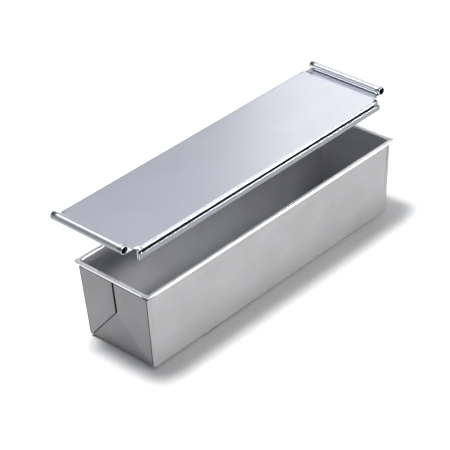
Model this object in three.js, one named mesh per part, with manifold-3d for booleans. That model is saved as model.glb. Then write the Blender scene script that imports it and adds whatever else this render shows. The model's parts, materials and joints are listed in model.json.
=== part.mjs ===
// Long slim loaf pan with a lift-off lid, in millimetres, +Z up.
// The origin is the middle of the pan's underside. The pan is one folded sheet, its rim is rolled
// over a wire, and the lid stands lifted above it, a little towards -X.
import * as THREE from "three";
import { mergeVertices } from "three/addons/utils/BufferGeometryUtils.js";
import Module from "manifold-3d";

// ---- driving dimensions ----
const SHEET = 0.6; // thickness of the folded sheet
const GAP = 0.3; // clearance left between touching pieces

const RIM_LENGTH = 342; // centre to centre of the end rolls
const RIM_WIDTH = 90; // centre to centre of the side rolls
const RIM_HEIGHT = 83.2; // height of the rolls' centre line
const WIRE_RADIUS = 1.25;
const ROLL_INNER = WIRE_RADIUS + GAP;
const ROLL_OUTER = ROLL_INNER + SHEET;
const ROLL_END_ANGLE = -120; // where the rolled sheet stops, in degrees below the outward side
const FLARE = 2.3; // how far each wall leans out from bottom to rim
const END_LEAN = 1.9; // how much further the two end walls lean out
const CORNER_RADIUS = 1.9; // upright corner, outside
const BOTTOM_BEND = 2.2; // outside radius between wall and bottom

const FLAP_DEPTH = 1.7; // a corner flap is the sheet folded double, with a little air in its fold
const FLAP_TOP = 79; // upper edge of the flaps, under the roll
const FLAP_MEET = 45.5; // height where the two diagonal folds of an end come together
const FLAP_FOOT = 2.5; // height where a diagonal fold leaves the bottom corner
const SLOT_WIDTH = 2.3; // gap between the two flaps of an end

const NOTCH_ON_END = 8; // how far a rim notch runs back from the outer corner, along an end
const NOTCH_ON_SIDE = 6.2; // and along a side
const NOTCH_DEPTH = 3.4; // depth of a rim notch under the roll's centre line
const NOTCH_RISE = 0.5; // how far it rises above that line

const LID_WIDTH = 100.6; // outside the two flanges
const LID_CURL_SPAN = 349; // centre to centre of the end curls
const CURL_RADIUS = 4; // outside
const CURL_TUCK_ANGLE = 190; // where the curl tightens and its edge tucks inside
const CURL_TUCK_RADIUS = 2.2; // outside
const CURL_END_ANGLE = 320;
const CURL_LENGTH = 88; // across the lid
const FLANGE_DEPTH = 10.6;
const FLANGE_LENGTH = 329;
const FLANGE_BEND = 2.2; // outside
const HEM_RADIUS = 1.4; // outside, at the flange's lower edge
const HEM_RISE = 6.4; // height of the outward hem's free edge above the lower edge
const LID_LIFT = 55; // above its closed place
const LID_SHIFT = -18; // along X from its closed place

const CORNER_STEPS = 6;
const ROLL_STEP = 20; // degrees between the facets of a roll

const wallHalf = {
  x: RIM_LENGTH / 2 - ROLL_INNER - FLARE - END_LEAN,
  y: RIM_WIDTH / 2 - ROLL_INNER - FLARE,
};

const wasm = await Module();
wasm.setup();

// ---- geometry helpers ----
const radians = (degrees) => (degrees * Math.PI) / 180;

/** Points on a circle from one angle to another, in degrees. */
function arc(cx, cy, radius, from, to, step = ROLL_STEP) {
  const count = Math.max(2, Math.round(Math.abs(to - from) / step));
  return Array.from({ length: count + 1 }, (_, i) => {
    const angle = radians(from + ((to - from) * i) / count);
    return [cx + radius * Math.cos(angle), cy + radius * Math.sin(angle)];
  });
}

/** A level loop round the pan, offset outward from the wall's outer face at the bottom. */
function loopAround(offset, z, grow = { x: 0, y: 0 }) {
  const radius = CORNER_RADIUS;
  const lean = (END_LEAN * z) / RIM_HEIGHT;
  const x = wallHalf.x + lean + grow.x + offset - radius;
  const y = wallHalf.y + grow.y + offset - radius;
  const centres = [[x, y], [-x, y], [-x, -y], [x, -y]];
  return centres.flatMap(([cx, cy], quarter) =>
    arc(cx, cy, radius, quarter * 90, quarter * 90 + 90, 90 / CORNER_STEPS).map(
      ([px, py]) => new THREE.Vector3(px, py, z)));
}

/** Closed skin over a row of convex loops that have equally many points. */
function loft(loops) {
  const size = loops[0].length;
  const index = [];
  for (let row = 0; row + 1 < loops.length; row += 1) {
    for (let i = 0; i < size; i += 1) {
      const a = row * size + i;
      const b = row * size + ((i + 1) % size);
      index.push(a, b, b + size, a, b + size, a + size);
    }
  }
  const last = (loops.length - 1) * size;
  for (let i = 1; i + 1 < size; i += 1) {
    index.push(0, i + 1, i, last, last + i, last + i + 1);
  }
  const geometry = new THREE.BufferGeometry().setFromPoints(loops.flat());
  geometry.setIndex(index);
  return geometry;
}

function toSolid(geometry) {
  const bare = geometry.clone();
  bare.deleteAttribute("normal");
  bare.deleteAttribute("uv");
  const merged = mergeVertices(bare, 1e-5);
  return new wasm.Manifold(new wasm.Mesh({
    numProp: 3,
    vertProperties: new Float32Array(merged.attributes.position.array),
    triVerts: new Uint32Array(merged.index.array),
  }));
}

function toGeometry(solid) {
  const mesh = solid.getMesh();
  const geometry = new THREE.BufferGeometry();
  geometry.setAttribute("position", new THREE.BufferAttribute(mesh.vertProperties, 3));
  geometry.setIndex(new THREE.BufferAttribute(mesh.triVerts, 1));
  geometry.computeVertexNormals();
  return geometry;
}

const union = (solids) => solids.reduce((whole, piece) => whole.add(piece));

function extrude(points, depth) {
  const shape = new THREE.Shape(points.map(([x, y]) => new THREE.Vector2(x, y)));
  return new THREE.ExtrudeGeometry(shape, { depth, bevelEnabled: false });
}

/** A section drawn in (y, z), drawn out along X and centred on x = 0. */
const alongX = (points, length) => extrude(points, length)
  .applyMatrix4(new THREE.Matrix4().set(0, 0, 1, -length / 2, 1, 0, 0, 0, 0, 1, 0, 0, 0, 0, 0, 1));

/** A section drawn in (x, z), drawn out along Y and centred on y = 0. */
const alongY = (points, length) => extrude(points, length)
  .rotateX(Math.PI / 2).translate(0, length / 2, 0);

// ---- the pan ----
/** Section of the pan's sheet, from the underside's edge up over the roll and down inside. */
function panSection() {
  const rollCentre = FLARE + ROLL_INNER;
  return [
    ...arc(-BOTTOM_BEND, BOTTOM_BEND, BOTTOM_BEND, -90, 0, 30),
    ...arc(rollCentre, RIM_HEIGHT, ROLL_INNER, 180, ROLL_END_ANGLE),
    ...arc(rollCentre, RIM_HEIGHT, ROLL_OUTER, ROLL_END_ANGLE, 180),
    ...arc(-BOTTOM_BEND, BOTTOM_BEND, BOTTOM_BEND - SHEET, 0, -90, 30),
  ];
}

/** The space inside a wall face that lies `offset` outside the pan's outer face. */
function wallBlock(offset, top, grow) {
  return toSolid(loft([
    loopAround(offset, 0, grow),
    loopAround(offset + (FLARE * top) / RIM_HEIGHT, top, grow),
  ]));
}

/** Corner notches that leave the wire bare under the rim's four corners. */
function rimNotches() {
  const height = NOTCH_DEPTH + NOTCH_RISE;
  const corner = { x: RIM_LENGTH / 2 + ROLL_OUTER, y: RIM_WIDTH / 2 + ROLL_OUTER };
  const blocks = [[1, 1], [-1, 1], [-1, -1], [1, -1]].map(([sx, sy]) =>
    toSolid(new THREE.BoxGeometry(2 * NOTCH_ON_SIDE, 2 * NOTCH_ON_END, height)
      .translate(sx * corner.x, sy * corner.y, RIM_HEIGHT + NOTCH_RISE - height / 2)));
  return union(blocks).subtract(wallBlock(GAP, RIM_HEIGHT + NOTCH_RISE));
}

/** Outline, in (y, z), of the doubled flap on the +Y half of an end. */
function flapOutline() {
  const edge = RIM_WIDTH / 2;
  return [
    [edge, FLAP_FOOT],
    [edge, FLAP_TOP],
    [SLOT_WIDTH / 2, FLAP_TOP],
    [SLOT_WIDTH / 2, FLAP_MEET],
    [wallHalf.y, FLAP_FOOT],
  ];
}

/** The corner flaps: doubled sheet lying against the two end walls. */
function cornerFlaps() {
  const outline = flapOutline();
  const mirrored = outline.map(([y, z]) => [-y, z]).reverse();
  const region = union([outline, mirrored].map((points) => toSolid(alongX(points, 2 * RIM_LENGTH))));
  return wallBlock(0, RIM_HEIGHT, { x: FLAP_DEPTH, y: 0 })
    .subtract(wallBlock(-SHEET / 2, RIM_HEIGHT + 1, { x: 0, y: 0 }))
    .intersect(region);
}

function panBody() {
  const shell = toSolid(loft(panSection().map(([offset, z]) => loopAround(offset, z))));
  return toGeometry(shell.subtract(rimNotches()).add(cornerFlaps()));
}

/** The rim wire, one rod bent round the rim, its two ends a small gap apart on the +Y side. */
function rimWire() {
  const path = loopAround(FLARE + ROLL_INNER, RIM_HEIGHT);
  const half = path.length / 4;
  const first = new THREE.Vector3(-GAP / 2, RIM_WIDTH / 2, RIM_HEIGHT);
  const last = new THREE.Vector3(GAP / 2, RIM_WIDTH / 2, RIM_HEIGHT);
  const route = [first, ...path.slice(half), ...path.slice(0, half), last];
  const sections = route.map((point, i) => {
    const before = route[Math.max(i - 1, 0)];
    const after = route[Math.min(i + 1, route.length - 1)];
    const forward = after.clone().sub(before).normalize();
    const side = new THREE.Vector3(forward.y, -forward.x, 0);
    return arc(0, 0, WIRE_RADIUS, 0, 330, 30).map(([across, up]) =>
      point.clone().addScaledVector(side, -across).add(new THREE.Vector3(0, 0, up)));
  });
  return toGeometry(toSolid(loft(sections)));
}

// ---- the lid, with z = 0 at its plate's upper face ----
/** Distance from the lid's middle to where its plate turns down into a flange. */
const bendStart = () => LID_WIDTH / 2 - 2 * HEM_RADIUS + SHEET - FLANGE_BEND;

/** Plate in plan, with a relief curve at each corner between curl and flange. */
function lidPlate() {
  const curlX = LID_CURL_SPAN / 2;
  const curlY = CURL_LENGTH / 2;
  const flangeX = FLANGE_LENGTH / 2;
  const bendY = bendStart();
  const relief = new THREE.QuadraticBezierCurve(
    new THREE.Vector2(curlX - 2, curlY),
    new THREE.Vector2(flangeX + 1, curlY),
    new THREE.Vector2(flangeX - 1, bendY - 1),
  ).getPoints(6).map((p) => [p.x, p.y]);
  const corner = [[curlX, curlY], ...relief, [flangeX - 1, bendY]];
  const outline = [
    ...corner,
    ...corner.map(([x, y]) => [-x, y]).reverse(),
    ...corner.map(([x, y]) => [-x, -y]),
    ...corner.map(([x, y]) => [x, -y]).reverse(),
  ];
  return toSolid(extrude(outline, SHEET).translate(0, 0, -SHEET));
}

/** Section, in (y, z), of the flange on the +Y side, with its lower edge hemmed outward. */
function flangeSection() {
  const bendY = bendStart();
  const hemY = LID_WIDTH / 2 - HEM_RADIUS;
  const hemZ = HEM_RADIUS - FLANGE_DEPTH;
  const edgeZ = HEM_RISE - FLANGE_DEPTH;
  const hemInner = HEM_RADIUS - SHEET;
  return [
    [bendY - 1.5, -SHEET],
    ...arc(bendY, -FLANGE_BEND, FLANGE_BEND - SHEET, 90, 0),
    ...arc(hemY, hemZ, HEM_RADIUS, 180, 360, 30),
    [hemY + HEM_RADIUS, edgeZ],
    [hemY + hemInner, edgeZ],
    ...arc(hemY, hemZ, hemInner, 360, 180, 30),
    ...arc(bendY, -FLANGE_BEND, FLANGE_BEND, 0, 90),
    [bendY - 1.5, 0],
  ];
}

/** Section, in (x, z), of the upward curl at the +X end, with its free edge tucked inside. */
function curlSection() {
  const curlX = LID_CURL_SPAN / 2;
  const curlZ = CURL_RADIUS - SHEET;
  const tuck = CURL_RADIUS - CURL_TUCK_RADIUS;
  const tuckX = curlX + tuck * Math.cos(radians(CURL_TUCK_ANGLE));
  const tuckZ = curlZ + tuck * Math.sin(radians(CURL_TUCK_ANGLE));
  return [
    [curlX - 1, -SHEET],
    ...arc(curlX, curlZ, CURL_RADIUS, -90, CURL_TUCK_ANGLE),
    ...arc(tuckX, tuckZ, CURL_TUCK_RADIUS, CURL_TUCK_ANGLE, CURL_END_ANGLE).slice(1),
    ...arc(tuckX, tuckZ, CURL_TUCK_RADIUS - SHEET, CURL_END_ANGLE, CURL_TUCK_ANGLE).slice(0, -1),
    ...arc(curlX, curlZ, CURL_RADIUS - SHEET, CURL_TUCK_ANGLE, -90),
    [curlX - 1, 0],
  ];
}

function lidSheet() {
  const flange = toSolid(alongX(flangeSection().reverse(), FLANGE_LENGTH));
  const curl = toSolid(alongY(curlSection(), CURL_LENGTH));
  return toGeometry(union([
    lidPlate(), flange, flange.mirror([0, 1, 0]), curl, curl.mirror([1, 0, 0])]));
}

// ---- assembly ----
function piece(name, geometry, color, roughness) {
  const material = new THREE.MeshStandardMaterial({ color, roughness, metalness: 1 });
  const mesh = new THREE.Mesh(geometry, material);
  mesh.name = name;
  return mesh;
}

const pan = new THREE.Group();
pan.add(piece("pan_body", panBody(), 0xb4b4b6, 0.42));
pan.add(piece("rim_wire", rimWire(), 0x9c9c9e, 0.35));

const lid = piece("lid", lidSheet(), 0xb9bfca, 0.24);
const closedTop = RIM_HEIGHT + ROLL_OUTER + GAP + SHEET;
lid.position.set(LID_SHIFT, 0, closedTop + LID_LIFT);

const loafPan = new THREE.Group();
loafPan.add(pan, lid);

export default loafPan;
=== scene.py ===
"""Looks of the loaf pan: fine sheet-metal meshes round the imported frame, light, floor and camera.

Metres, +Z up. The pan is one folded sheet with a wired roll; the lid is one sheet held above it.
"""
import json
import math
import bpy
from mathutils import Matrix, Vector, noise

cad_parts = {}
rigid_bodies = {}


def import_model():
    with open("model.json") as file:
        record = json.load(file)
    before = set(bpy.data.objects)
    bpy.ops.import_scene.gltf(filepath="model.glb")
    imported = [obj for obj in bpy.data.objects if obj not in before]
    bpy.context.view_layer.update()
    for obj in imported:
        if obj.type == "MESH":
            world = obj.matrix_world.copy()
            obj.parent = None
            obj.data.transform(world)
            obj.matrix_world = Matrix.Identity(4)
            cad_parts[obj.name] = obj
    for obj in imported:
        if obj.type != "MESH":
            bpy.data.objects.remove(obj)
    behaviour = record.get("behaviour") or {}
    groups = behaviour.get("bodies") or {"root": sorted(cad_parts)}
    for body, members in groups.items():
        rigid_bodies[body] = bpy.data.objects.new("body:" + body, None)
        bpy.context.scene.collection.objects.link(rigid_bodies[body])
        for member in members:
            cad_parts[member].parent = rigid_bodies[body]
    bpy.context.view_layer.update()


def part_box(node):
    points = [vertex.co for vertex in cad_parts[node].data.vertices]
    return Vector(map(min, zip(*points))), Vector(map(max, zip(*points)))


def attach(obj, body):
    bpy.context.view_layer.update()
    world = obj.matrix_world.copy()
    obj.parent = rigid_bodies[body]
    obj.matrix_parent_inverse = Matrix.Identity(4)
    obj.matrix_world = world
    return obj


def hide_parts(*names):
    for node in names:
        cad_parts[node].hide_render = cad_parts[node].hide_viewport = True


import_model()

MM = 0.001
SHARP_ANGLE = 35  # degrees, from which an edge is shaded as an edge

# ---- sizes that the frame doesn't state, in metres ----
SHEET = 0.6 * MM
WIRE_RADIUS = 1.25 * MM
ROLL_RADIUS = 1.85 * MM  # middle of the rolled sheet
ROLL_END = -120  # degrees
FLARE = 2.3 * MM
END_LEAN = 1.9 * MM  # how much further the end walls lean out
CORNER_RADIUS = 1.9 * MM
BOTTOM_BEND = 2.2 * MM
FLAP_DEPTH = 1.7 * MM
FLAP_TOP = 79 * MM
FLAP_MEET = 45.5 * MM
FLAP_FOOT = 2.5 * MM
SLOT_WIDTH = 2.3 * MM
NOTCH_ANGLE = 25  # the corner notches cut the roll away below this angle
NOTCH_RUN = 0.1 * MM  # how far a notch runs past the corner's bend, along either wall
CORNER_SQUARENESS = 10  # 2 would turn the notched roll round its corners in an arc
CORNER_REACH = 9.5 * MM
STATION_STEP = 8 * MM  # between points along the pan's straight walls
CALM_LENGTH = 14 * MM  # from a corner to where a wall buckles freely
CALM_HEIGHT = 12 * MM  # and from the bottom or the rim

CURL_RADIUS = 3.7 * MM  # middle of the curled sheet
CURL_TUCK = 215  # degrees, where the curl tightens and its edge tucks inside
CURL_TUCK_RADIUS = 1.7 * MM
CURL_END = 320
CURL_LENGTH = 88 * MM
FLANGE_LENGTH = 329 * MM
FLANGE_DEPTH = 10.6 * MM
FLANGE_BEND = 1.9 * MM  # middle of the sheet
HEM_RADIUS = 1.1 * MM  # middle of the sheet
HEM_RISE = 6.4 * MM

# ---- places from the frame ----
pan_high = Vector(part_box("pan_body")[1])
lid_low, lid_high = (Vector(corner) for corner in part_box("lid"))
ROLL_OUTER = ROLL_RADIUS + SHEET / 2
RIM_X = pan_high.x - ROLL_OUTER
RIM_Y = pan_high.y - ROLL_OUTER
RIM_Z = pan_high.z - ROLL_OUTER
WALL_X = RIM_X - ROLL_RADIUS + SHEET / 2 - FLARE - END_LEAN  # the walls' outer faces, at the bottom
WALL_Y = RIM_Y - ROLL_RADIUS + SHEET / 2 - FLARE
FLAP_REACH = WALL_Y - 2.3 * MM  # from the pan's middle line to the flaps' feet
LID_X = (lid_low.x + lid_high.x) / 2
LID_TOP = lid_low.z + FLANGE_DEPTH
CURL_X = (lid_high.x - lid_low.x) / 2 - CURL_RADIUS - SHEET / 2
HEM_Y = lid_high.y - HEM_RADIUS - SHEET / 2
WEB_Y = HEM_Y - HEM_RADIUS


# ---- meshes ----
def arc(cx, cy, radius, start, stop, step):
    """Points on a circle from one angle to another, in degrees."""
    count = max(2, round(abs(stop - start) / step))
    points = []
    for i in range(count + 1):
        angle = math.radians(start + (stop - start) * i / count)
        points.append((cx + radius * math.cos(angle), cy + radius * math.sin(angle)))
    return points


def spread(start, stop, step):
    """Evenly spread values from start to stop, both included."""
    count = max(1, round(abs(stop - start) / step))
    return [start + (stop - start) * i / count for i in range(count + 1)]


def new_piece(name, verts, faces, body, slot, *materials):
    """A smooth-shaded mesh object that rides on a body."""
    mesh = bpy.data.meshes.new(name)
    mesh.from_pydata([tuple(v) for v in verts], [], faces)
    mesh.validate()
    for material in materials:
        mesh.materials.append(material)
    piece = bpy.data.objects.new(name, mesh)
    bpy.context.scene.collection.objects.link(piece)
    mesh.shade_smooth()
    mesh.set_sharp_from_angle(angle=math.radians(SHARP_ANGLE))
    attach(piece, body)
    return piece


def thicken(piece, inward_offset=0, cut_edge=0):
    """Turns the middle surface of a sheet into real sheet with square cut edges. The inward offset and
    the cut edge are how many slots further on the face turned inward and the edges find their
    materials."""
    modifier = piece.modifiers.new("sheet", "SOLIDIFY")
    modifier.thickness = SHEET
    modifier.offset = 0
    modifier.use_rim = True
    modifier.material_offset = inward_offset
    modifier.material_offset_rim = cut_edge


def skin(loops):
    """Faces over a row of closed loops with equally many points, with their two ends capped."""
    size = len(loops[0])
    faces = []
    for row in range(len(loops) - 1):
        for i in range(size):
            a, b = row * size + i, row * size + (i + 1) % size
            faces.append((a, b, b + size, a + size))
    last = (len(loops) - 1) * size
    faces.append(tuple(reversed(range(size))))
    faces.append(tuple(range(last, last + size)))
    return [point for loop in loops for point in loop], faces


def buckle(x, y, z, amount=0.10 * MM, scale=0.05):
    """The slight unevenness of hand-folded sheet."""
    return amount * noise.noise(Vector((x, y, z)) / scale)


# ---- the pan ----
def rim_stations():
    """Stations round the pan: a point on the wall's outer face at the bottom, the outward normal,
    how freely the sheet buckles there, whether the roll is notched from here to the next, and how
    far the roll stands out to turn its corner squarely."""
    stations = []
    inner_x, inner_y = WALL_X - CORNER_RADIUS, WALL_Y - CORNER_RADIUS
    for quarter, (sx, sy) in enumerate(((1, 1), (-1, 1), (-1, -1), (1, -1))):
        centre = Vector((sx * inner_x, sy * inner_y, 0))
        for angle in spread(quarter * 90, quarter * 90 + 90, 7.5):
            normal = Vector((math.cos(math.radians(angle)), math.sin(math.radians(angle)), 0))
            power = sum(abs(part) ** CORNER_SQUARENESS for part in normal)
            out = normal * (power ** (-1 / CORNER_SQUARENESS) - 1) * CORNER_REACH
            stations.append((centre + CORNER_RADIUS * normal, normal, 0, True, out))
        length = 2 * (inner_y if quarter % 2 == 1 else inner_x)
        run = Vector((-stations[-1][1].y, stations[-1][1].x, 0))
        start, normal, *_ = stations.pop()
        for stop in [0, *spread(NOTCH_RUN, length - NOTCH_RUN, STATION_STEP)]:
            free = min(1, stop / CALM_LENGTH, (length - stop) / CALM_LENGTH)
            notched = stop < NOTCH_RUN or stop >= length - NOTCH_RUN
            stations.append((start + run * stop, normal, free, notched, Vector((0, 0, 0))))
    return stations


def pan_profile():
    """Middle of the sheet's section: (outward offset, height, how freely it buckles, roll angle),
    from the bottom, up the wall and over the roll."""
    bend = BOTTOM_BEND - SHEET / 2
    profile = [(-BOTTOM_BEND - 0.6 * MM, SHEET / 2, 0, None)]
    for d, z in arc(-BOTTOM_BEND, BOTTOM_BEND, bend, -90, 0, 10):
        profile.append((d, z, 0, None))
    heights = [BOTTOM_BEND + 0.5 * MM] + spread(6 * MM, RIM_Z - 5 * MM, 6 * MM) + [RIM_Z - 0.8 * MM]
    for z in heights:
        free = min(1, (z - BOTTOM_BEND) / CALM_HEIGHT, (RIM_Z - z) / CALM_HEIGHT)
        profile.append((FLARE * z / RIM_Z - SHEET / 2, z, max(0, free), None))
    centre = FLARE + ROLL_RADIUS - SHEET / 2
    for angle in spread(180, ROLL_END, 7.5):
        turn = math.radians(angle)
        point = (centre + ROLL_RADIUS * math.cos(turn), RIM_Z + ROLL_RADIUS * math.sin(turn))
        profile.append((*point, 0, angle))
    return profile


def leaned(point, z):
    """A point of the end walls' upright section, moved out as far as those walls lean at a height."""
    return Vector((point.x + math.copysign(END_LEAN * z / RIM_Z, point.x), point.y, z))


def pan_shell(outside, inside, roll):
    """Bottom, walls and notched roll as one sheet."""
    stations = rim_stations()
    profile = pan_profile()
    verts, faces = [], []
    for offset, z, free_up, angle in profile:
        rolled = 0 if angle is None else min(1, (180 - angle) / 90)
        for base, normal, free_along, _, out in stations:
            point = leaned(base + normal * offset, z) + out * rolled
            verts.append(point + normal * buckle(*point) * free_up * free_along)
    count = len(stations)
    first_roll = 0
    for row in range(len(profile) - 1):
        angle = profile[row][3]
        if angle is None:
            first_roll = (row + 1) * count
        below_notch = angle is not None and angle <= NOTCH_ANGLE
        for i in range(count):
            if below_notch and stations[i][3]:
                continue
            j = (i + 1) % count
            faces.append((row * count + i, row * count + j,
                          (row + 1) * count + j, (row + 1) * count + i))
    faces.append(tuple(reversed(range(count))))
    piece = new_piece("pan_shell", verts, faces, "pan", "pan_sheet", outside, inside, roll)
    # The roll gets the much lighter roll metal, partly a painted highlight.
    for face in list(piece.data.polygons)[first_roll:-1]:
        face.material_index = 2
    # The inner face gets the lighter inside metal: painted light inside the pan.
    thicken(piece, inward_offset=1)
    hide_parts("pan_body")
    return piece


def flap_section(start):
    """Section of a corner flap in plan: (distance out from the end wall, y), from its folded or cut
    edge, across its face, over a crease and round the pan's upright corner."""
    edge = 0.2 * MM
    crease = WALL_Y - 1.5 * MM
    crease_depth = FLAP_DEPTH - 0.75 * MM
    bead = 0.55 * MM
    section = [(-SHEET / 2, start)]
    section += [(FLAP_DEPTH - edge * (1 - math.sin(math.radians(a))),
                 start + edge * (1 - math.cos(math.radians(a)))) for a in (0, 30, 60, 90)]
    section += [(FLAP_DEPTH, start + edge + (crease - start - edge) * f) for f in (0.3, 0.6, 0.9, 1)]
    section += [(crease_depth, crease + 0.28 * MM), (crease_depth, crease + 0.42 * MM)]
    for a in (100, 60, 20, -20):
        section.append((FLAP_DEPTH - bead + bead * math.sin(math.radians(a)),
                        WALL_Y - bead + bead * math.cos(math.radians(a))))
    section.append((-CORNER_RADIUS, WALL_Y + 0.02 * MM))
    section.append((-CORNER_RADIUS, WALL_Y - SHEET / 2))
    section.append((-SHEET / 2, WALL_Y - CORNER_RADIUS))
    return section


def corner_flap(name, end, side, material):
    """One corner's spare sheet, folded double and laid against the end wall."""
    levels = spread(FLAP_FOOT, FLAP_MEET, 3 * MM) + spread(FLAP_MEET, FLAP_TOP, 5 * MM)[1:]
    loops = []
    for z in levels:
        rise = min(1, (z - FLAP_FOOT) / (FLAP_MEET - FLAP_FOOT))
        start = FLAP_REACH + (SLOT_WIDTH / 2 - FLAP_REACH) * rise
        lean = FLARE * z / RIM_Z
        lean_end = (FLARE + END_LEAN) * z / RIM_Z
        loop = []
        for out, y in flap_section(start):
            shift = 0
            if out > FLAP_DEPTH - 0.1 * MM and y < WALL_Y - 3 * MM:
                shift = buckle(end * 3, y * side, z, 0.12 * MM, 0.03)
            grown = y + lean if y > WALL_Y - 4 * MM else y
            loop.append((end * (WALL_X + lean_end + out + shift), side * grown, z))
        loops.append(loop if end * side > 0 else loop[::-1])
    verts, faces = skin(loops)
    return new_piece(name, verts, faces, "pan", "pan_sheet", material)


def rim_wire(material):
    """The rod inside the roll, its two ends one station apart at the middle of the back."""
    offset = FLARE + ROLL_RADIUS - SHEET / 2
    path = [(leaned(base + normal * offset, RIM_Z) + out, normal)
            for base, normal, _, _, out in rim_stations()]
    back = min(range(len(path)), key=lambda i: (path[i][0] - Vector((0, RIM_Y, 0))).length)
    path = path[back:] + path[:back]
    loops = []
    for point, normal in path:
        loops.append([(point.x + normal.x * d, point.y + normal.y * d, z)
                      for d, z in arc(0, RIM_Z, WIRE_RADIUS, 0, 345, 15)])
    verts, faces = skin(loops)
    piece = new_piece("rim_rod", verts, faces, "pan", "wire", material)
    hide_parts("rim_wire")
    return piece


# ---- the lid ----
def flange_path():
    """Middle of the sheet from the start of the bend to the hem's free edge: (y, depth)."""
    bend_y = WEB_Y - FLANGE_BEND
    bend = arc(bend_y, -SHEET / 2 - FLANGE_BEND, FLANGE_BEND, 90, 0, 9)
    hem_z = HEM_RADIUS + SHEET / 2 - FLANGE_DEPTH
    web = [(WEB_Y, z) for z in spread(-SHEET / 2 - FLANGE_BEND, hem_z, 1.5 * MM)[1:-1]]
    hem = arc(HEM_Y, hem_z, HEM_RADIUS, 180, 360, 15)
    edge_z = HEM_RISE - FLANGE_DEPTH
    belly = [(HEM_Y + HEM_RADIUS + 0.12 * MM * math.sin(math.pi * f) - 0.25 * MM * f * f,
              hem_z + (edge_z - hem_z) * f) for f in (0.15, 0.3, 0.45, 0.6, 0.75, 0.9, 1)]
    return bend + web + hem + belly


def curl_path():
    """Middle of the sheet from the start of the curl to its tucked free edge: (x, height)."""
    curl_z = CURL_RADIUS - SHEET / 2
    turn = math.radians(CURL_TUCK)
    tuck_x = CURL_X + (CURL_RADIUS - CURL_TUCK_RADIUS) * math.cos(turn)
    tuck_z = curl_z + (CURL_RADIUS - CURL_TUCK_RADIUS) * math.sin(turn)
    curl = arc(CURL_X, curl_z, CURL_RADIUS, -90, CURL_TUCK, 7)
    return curl + arc(tuck_x, tuck_z, CURL_TUCK_RADIUS, CURL_TUCK, CURL_END, 10)[1:]


def lid_sheet(plate, dark_reflection_metal):
    """The lid's middle surface as one grid: plate, flanges along its sides and curls at its ends. The
    flanges below their bend and the lower, outer part of the curls have a darker metal, a painted dark
    reflection."""
    curl, flange = curl_path(), flange_path()
    relief_x, flange_x = CURL_X - 2 * MM, FLANGE_LENGTH / 2 - 1 * MM
    curl_y, bend_y = CURL_LENGTH / 2, flange[0][0]
    relief_y = bend_y - 1.0 * MM
    half_x = spread(0, flange_x, 6 * MM) + [relief_x, CURL_X]
    half_y = spread(0, curl_y, 6 * MM) + [relief_y, bend_y]
    flat_x, flat_y = len(half_x) - 1, len(half_y) - 1
    columns = [(x, None) for x in half_x] + [(None, point) for point in curl[1:]]
    rows = [(y, None) for y in half_y] + [(None, point) for point in flange[1:]]
    places = {}
    verts, faces = [], []

    def vertex(i, j):
        """Grid point i along X and j along Y; a negative index is the mirrored side."""
        key = (i, j)
        if key not in places:
            x, on_curl = columns[abs(i)]
            y, on_flange = rows[abs(j)]
            z = -SHEET / 2
            if on_curl:
                x, z = on_curl
            if on_flange:
                y, z = on_flange
            x, y = math.copysign(x, i), math.copysign(y, j)
            if not on_curl and not on_flange:
                fade = min(1, (CURL_X - abs(x)) / (20 * MM), (bend_y - abs(y)) / (12 * MM))
                z += buckle(x, y, 0, 0.05 * MM, 0.09) * max(0, fade)
            places[key] = len(verts)
            verts.append((LID_X + x, y, LID_TOP + z))
        return places[key]

    bend_rows, low_curl_columns = 9, 18
    dark_reflection_faces = []
    last_flange_column = flat_x - 2
    last_curl_row = flat_y - 2
    for i in range(-len(columns) + 1, len(columns) - 1):
        for j in range(-len(rows) + 1, len(rows) - 1):
            reach_x, reach_y = max(abs(i), abs(i + 1)), max(abs(j), abs(j + 1))
            if reach_x > last_flange_column and reach_y > last_curl_row:
                continue
            # These faces get the darker metal: painted dark reflection.
            if flat_x < reach_x <= flat_x + low_curl_columns or reach_y > flat_y + bend_rows:
                dark_reflection_faces.append(len(faces))
            faces.append((vertex(i, j), vertex(i + 1, j), vertex(i + 1, j + 1), vertex(i, j + 1)))
    for sx in (1, -1):
        for sy in (1, -1):
            start = Vector((relief_x, curl_y))
            pull = Vector((flange_x + 2 * MM, curl_y))
            stop = Vector((flange_x, relief_y))
            curve = []
            for t in spread(0, 1, 0.125)[1:-1]:
                point = start * (1 - t) ** 2 + pull * 2 * t * (1 - t) + stop * t * t
                curve.append(len(verts))
                verts.append((LID_X + sx * point.x, sy * point.y, LID_TOP - SHEET / 2))
            inner = vertex(sx * last_flange_column, sy * last_curl_row)
            first = vertex(sx * (last_flange_column + 1), sy * last_curl_row)
            final = vertex(sx * last_flange_column, sy * (last_curl_row + 1))
            edge = [first, *curve, final]
            for a, b in zip(edge, edge[1:]):
                faces.append((inner, a, b) if sx * sy > 0 else (inner, b, a))
    piece = new_piece("lid_plate", verts, faces, "lid", "lid_sheet", plate, dark_reflection_metal)
    for index in dark_reflection_faces:
        piece.data.polygons[index].material_index = 1
    thicken(piece, cut_edge=-1)
    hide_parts("lid")
    return piece


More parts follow.
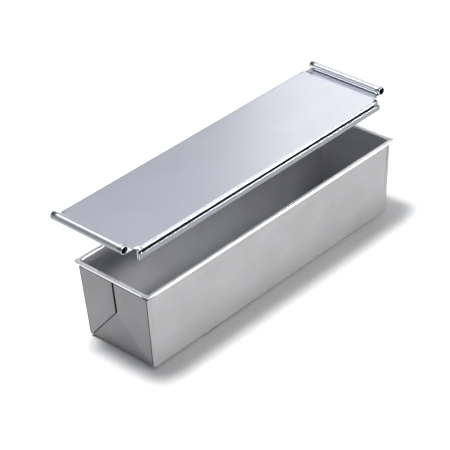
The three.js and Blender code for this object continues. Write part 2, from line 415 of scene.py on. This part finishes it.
# ---- materials ----
class Nodes:
    """Short hand for wiring one material's nodes."""

    def __init__(self, name):
        self.material = bpy.data.materials.new(name)
        self.material.use_nodes = True
        self.tree = self.material.node_tree
        self.shader = self.tree.nodes["Principled BSDF"]
        self.coords = self.add("ShaderNodeTexCoord").outputs["Object"]

    def place(self):
        """The X, Y and Z of a point of the surface, each as an output."""
        node = self.add("ShaderNodeSeparateXYZ")
        self.link(self.coords, node.inputs["Vector"])
        return node

    def absolute(self, value):
        return self.math("ABSOLUTE", value, 0)

    def add(self, kind, **values):
        node = self.tree.nodes.new(kind)
        for key, value in values.items():
            setattr(node, key, value)
        return node

    def link(self, source, target):
        self.tree.links.new(source, target)

    def noise(self, scale, stretch=(1, 1, 1), detail=3.0, roughness=0.5):
        """Noise of a size in 1/m, drawn out along the axes by stretch."""
        mapping = self.add("ShaderNodeMapping")
        mapping.inputs["Scale"].default_value = stretch
        self.link(self.coords, mapping.inputs["Vector"])
        texture = self.add("ShaderNodeTexNoise")
        texture.inputs["Scale"].default_value = scale
        texture.inputs["Detail"].default_value = detail
        texture.inputs["Roughness"].default_value = roughness
        self.link(mapping.outputs["Vector"], texture.inputs["Vector"])
        return texture.outputs["Fac"]

    def remap(self, value, low, high, from_low=0.3, from_high=0.7):
        """A value carried from one range to another."""
        node = self.add("ShaderNodeMapRange")
        node.inputs["From Min"].default_value = from_low
        node.inputs["From Max"].default_value = from_high
        node.inputs["To Min"].default_value = low
        node.inputs["To Max"].default_value = high
        self.link(value, node.inputs["Value"])
        return node.outputs["Result"]

    def math(self, operation, a, b):
        node = self.add("ShaderNodeMath", operation=operation)
        for socket, value in zip(node.inputs, (a, b)):
            if isinstance(value, (int, float)):
                socket.default_value = value
            else:
                self.link(value, socket)
        return node.outputs["Value"]

    def tint(self, colour, factor):
        """A colour scaled by a factor that varies over the surface."""
        node = self.add("ShaderNodeVectorMath", operation="SCALE")
        node.inputs[0].default_value = colour
        self.link(factor, node.inputs["Scale"])
        return node.outputs["Vector"]

    def bump(self, height, distance, normal=None):
        """A normal roughened by a height, on top of another normal."""
        node = self.add("ShaderNodeBump")
        node.inputs["Strength"].default_value = 1.0
        node.inputs["Distance"].default_value = distance
        self.link(height, node.inputs["Height"])
        if normal is not None:
            self.link(normal, node.inputs["Normal"])
        return node.outputs["Normal"]


def sheet_metal(name, colour, rough, metallic=1.0, mottle=0.05, grain_depth=0.003 * MM,
                wave_depth=0.06 * MM, wear=0.055, streak=0.02, fold_reach=3 * MM, fold=(0.15, 0.62),
                hollow=None):
    """Rolled sheet: fine grain along the length, soft mottling, and painted shade in its folds and
    hollows. The fold's range is how open a place is where the painted shade is black and where there is
    none."""
    n = Nodes(name)
    grain = n.noise(900, (0.03, 1, 1), 4.0, 0.6)
    cloud = n.noise(28, (1, 1, 1), 4.0, 0.55)
    speck = n.noise(420, (1, 1, 1), 2.0, 0.6)
    smear = n.noise(60, (0.5, 1, 1), 5.0, 0.65)
    # Ambient occlusion darkens the colour in creases and hollows: painted shade.
    depth = n.add("ShaderNodeAmbientOcclusion", samples=8, only_local=True)
    depth.inputs["Distance"].default_value = fold_reach
    unshaded = n.remap(depth.outputs["AO"], 0.03, 1, *fold)
    # A hollow mask darkens its places further: painted shade.
    if hollow:
        unshaded = n.math("MULTIPLY", unshaded, n.remap(hollow(n), 1, 0.04, 0, 1))
    shade = n.math("MULTIPLY", n.remap(cloud, 1 - mottle, 1 + mottle * 0.6),
                   n.remap(speck, 0.985, 1.012))
    n.link(n.tint(colour, n.math("MULTIPLY", shade, unshaded)), n.shader.inputs["Base Color"])
    uneven = n.math("ADD", n.remap(smear, rough - wear, rough + wear),
                    n.remap(grain, -streak, streak))
    n.link(uneven, n.shader.inputs["Roughness"])
    relief = n.bump(grain, grain_depth)
    n.link(n.bump(cloud, wave_depth, relief), n.shader.inputs["Normal"])
    n.shader.inputs["Metallic"].default_value = metallic
    return n.material


def in_curl(n):
    """One inside the lid's hollow curls, where painted shade makes them dark, and nought elsewhere."""
    place = n.place()
    from_middle = n.absolute(n.math("SUBTRACT", place.outputs["X"], LID_X))
    off = n.math("SUBTRACT", from_middle, CURL_X)
    across = n.math("MULTIPLY", off, off)
    up = n.math("SUBTRACT", place.outputs["Z"], LID_TOP + CURL_RADIUS - SHEET / 2)
    reach = n.math("ADD", across, n.math("MULTIPLY", up, up))
    return n.math("LESS_THAN", reach, (CURL_RADIUS - 0.1 * MM) ** 2)


def under_flaps(n):
    """One where painted shade goes, in the slot between the flaps and along their feet, and nought
    elsewhere.
    """
    place = n.place()
    side = n.absolute(place.outputs["Y"])
    across = n.math("LESS_THAN", side, SLOT_WIDTH / 2 + 0.2 * MM)
    above = n.math("GREATER_THAN", place.outputs["Z"], FLAP_MEET - 1 * MM)
    below = n.math("LESS_THAN", place.outputs["Z"], FLAP_TOP)
    slot = n.math("MULTIPLY", across, n.math("MULTIPLY", above, below))
    run, drop = FLAP_REACH - SLOT_WIDTH / 2, FLAP_MEET - FLAP_FOOT
    along_side = n.math("MULTIPLY", n.math("SUBTRACT", side, SLOT_WIDTH / 2), -drop)
    along_drop = n.math("MULTIPLY", n.math("SUBTRACT", FLAP_MEET, place.outputs["Z"]), run)
    clear = n.math("DIVIDE", n.math("ADD", along_side, along_drop), math.hypot(run, drop))
    foot = n.math("MULTIPLY", n.math("GREATER_THAN", clear, -0.1 * MM),
                  n.math("LESS_THAN", clear, 0.8 * MM))
    on_end = n.math("GREATER_THAN", n.absolute(place.outputs["X"]), WALL_X - 0.5 * MM)
    return n.math("MAXIMUM", slot, n.math("MULTIPLY", foot, on_end))


def drawn_wire():
    """Drawn rod, finely pitted, with painted shade where it lies deep in the roll."""
    n = Nodes("drawn_wire")
    pits = n.noise(1500, (1, 1, 1), 2.0, 0.5)
    # Ambient occlusion darkens the rod deep in the roll: painted shade.
    depth = n.add("ShaderNodeAmbientOcclusion", samples=8)
    depth.inputs["Distance"].default_value = 3 * MM
    unshaded = n.remap(depth.outputs["AO"], 0.03, 1, 0.2, 0.8)
    shade = n.math("MULTIPLY", n.remap(pits, 0.92, 1.05), unshaded)
    n.link(n.tint((0.20, 0.20, 0.21), shade), n.shader.inputs["Base Color"])
    n.link(n.remap(pits, 0.40, 0.52), n.shader.inputs["Roughness"])
    n.link(n.bump(pits, 0.01 * MM), n.shader.inputs["Normal"])
    n.shader.inputs["Metallic"].default_value = 1.0
    return n.material


def floor_material():
    """Pale paper."""
    n = Nodes("pale_floor")
    paper = n.noise(40, (1, 1, 1), 3.0, 0.5)
    n.link(n.tint((0.92, 0.92, 0.92), n.remap(paper, 0.99, 1.01)), n.shader.inputs["Base Color"])
    n.shader.inputs["Roughness"].default_value = 0.9
    n.shader.inputs["Specular IOR Level"].default_value = 0.1
    return n.material


# ---- studio ----
def add_floor():
    """A wide sheet of paper just under the pan."""
    verts = [(-3, -3, 0), (3, -3, 0), (3, 3, 0), (-3, 3, 0)]
    mesh = bpy.data.meshes.new("floor")
    mesh.from_pydata(verts, [], [(0, 1, 2, 3)])
    mesh.materials.append(floor_material())
    floor = bpy.data.objects.new("floor", mesh)
    floor.location.z = -0.2 * MM
    bpy.context.scene.collection.objects.link(floor)


def add_light(name, place, aim, size, radiance, colour=(1, 1, 1), spread=180):
    """An area light whose radiance straight ahead stays the same however narrow its spread is."""
    light = bpy.data.lights.new(name, "AREA")
    light.shape = "RECTANGLE"
    light.size, light.size_y = size
    half = math.radians(spread / 2)
    light.energy = math.pi * size[0] * size[1] * radiance * (1 - half / math.tan(half))
    light.color = colour
    light.spread = math.radians(spread)
    lamp = bpy.data.objects.new(name, light)
    lamp.location = place
    direction = Vector(aim) - Vector(place)
    lamp.rotation_euler = direction.to_track_quat("-Z", "Y").to_euler()
    lamp.visible_camera = False
    bpy.context.scene.collection.objects.link(lamp)
    return lamp


def spare_floor(lamp):
    """Lets a lamp light the object and leave the floor as it is."""
    lit = bpy.data.collections.new("off_floor")
    for piece in bpy.context.scene.objects:
        if piece.type == "MESH" and piece.name != "floor":
            lit.objects.link(piece)
    lamp.light_linking.receiver_collection = lit


def add_world():
    """Faint, even light from all round."""
    world = bpy.data.worlds.new("studio")
    world.use_nodes = True
    background = world.node_tree.nodes["Background"]
    background.inputs["Color"].default_value = (0.95, 0.97, 1.0, 1)
    background.inputs["Strength"].default_value = 0.10
    bpy.context.scene.world = world


def add_lights():
    """A key from above, soft panels for the metal to reflect, and two fills from the front."""
    cool, warm = (0.93, 0.96, 1.03), (1.0, 0.99, 0.95)
    add_light("key", (-0.5, 0.3, 2.85), (0, 0, 0), (0.45, 0.45), 132)
    add_light("ceiling", (0.45, 1.1, 1.55), (0.45, 1.1, 0), (3.5, 2.0), 0.49, cool)
    add_light("curl_strip", (-0.1, 1.05, 1.5), (-0.1, 1.05, 0), (1.3, 0.4), 1.2)
    add_light("bend_strip", (1.1, -0.25, 1.5), (1.1, -0.25, 0), (0.9, 1.4), 1.3)
    add_light("plate_panel", (1.75, 1.05, 1.1), (0.1, 0, 0.14), (0.8, 0.8), 0.8, warm)
    add_light("backdrop", (2.0, 1.9, 0.3), (0, 0, 0.15), (2.4, 0.5), 0.9)
    add_light("back_left", (-1.6, 1.3, 0.45), (0, 0, 0.15), (1.2, 0.8), 0.7)
    add_light("side_fill", (1.6, -1.7, 0.16), (0.46, 0, 0.0), (1.0, 0.3), 88, spread=46)
    mouth_fill = add_light("mouth_fill", (-0.25, -1.35, 1.3), (-0.15, 0.04, 0.03), (0.3, 0.3), 160,
                           spread=17)
    spare_floor(mouth_fill)


def add_camera():
    """Camera at the pictured viewing angle: from the front left, 33 degrees up, slightly rolled."""
    azimuth, elevation, roll = math.radians(-45.79), math.radians(33.32), math.radians(3.01)
    target = Vector((-0.0452, -0.0209, 0.085))
    distance, lens = 1.665, 144.7
    forward = Vector((-math.sin(azimuth) * math.cos(elevation),
                      math.cos(azimuth) * math.cos(elevation), -math.sin(elevation)))
    right = forward.cross(Vector((0, 0, 1))).normalized()
    up = right.cross(forward)
    right, up = (right * math.cos(roll) - up * math.sin(roll),
                 up * math.cos(roll) + right * math.sin(roll))
    turn = Matrix((right, up, -forward)).transposed().to_4x4()
    camera = bpy.data.objects.new("camera", bpy.data.cameras.new("camera"))
    camera.data.lens = lens
    camera.data.sensor_width = 36
    camera.matrix_world = Matrix.Translation(target - forward * distance) @ turn
    bpy.context.scene.collection.objects.link(camera)
    bpy.context.scene.camera = camera
    view = bpy.context.scene.view_settings
    view.view_transform = "Standard"
    view.exposure = 0.0


def build():
    """The materials and the seven pieces: the pan's sheet, its four flaps, the rod and the lid."""
    # Ambient occlusion and the flap mask darken its creases, the slot and the flaps' feet: painted
    # shade.
    pan_metal = sheet_metal("pan_outside", (0.285, 0.285, 0.29), 0.42, 0.12, mottle=0.08,
                            fold=(0.42, 0.85), hollow=under_flaps)
    # Lighter than the outside of the same sheet: painted light inside the pan.
    lit_inner_metal = sheet_metal("pan_inside", (0.58, 0.58, 0.59), 0.45, 0.4, mottle=0.08)
    # Far lighter than the walls of the same sheet: partly painted highlight on the roll.
    pan_roll = sheet_metal("pan_roll", (0.84, 0.84, 0.85), 0.28, 0.85, grain_depth=0.0001 * MM,
                           wave_depth=0.005 * MM, wear=0.02, streak=0.004)
    # Ambient occlusion and the curl mask darken its hollows, black inside the curls: painted shade.
    lid_metal = sheet_metal("lid_sheet_metal", (0.803, 0.828, 0.89), 0.26, mottle=0.02, wear=0.01,
                            grain_depth=0.0002 * MM, wave_depth=0.0005 * MM, streak=0.006,
                            fold_reach=4 * MM, fold=(0.05, 0.3), hollow=in_curl)
    # Darker metal for the flanges and the curls' lower side: painted dark reflection, the same sheet as
    # the plate.
    lid_dark_reflection = sheet_metal("lid_painted_dark_reflection", (0.27, 0.28, 0.30), 0.22, mottle=0.03, wear=0.02,
                             grain_depth=0.0005 * MM, wave_depth=0.001 * MM, fold_reach=8 * MM,
                             fold=(0.08, 0.38), hollow=in_curl)
    pan_shell(pan_metal, lit_inner_metal, pan_roll)
    for end in (1, -1):
        for side in (1, -1):
            name = f"flap_{'far' if end > 0 else 'near'}_{'left' if side > 0 else 'right'}"
            corner_flap(name, end, side, pan_metal)
    rim_wire(drawn_wire())
    lid_sheet(lid_metal, lid_dark_reflection)


add_camera()
build()
add_floor()
add_world()
add_lights()
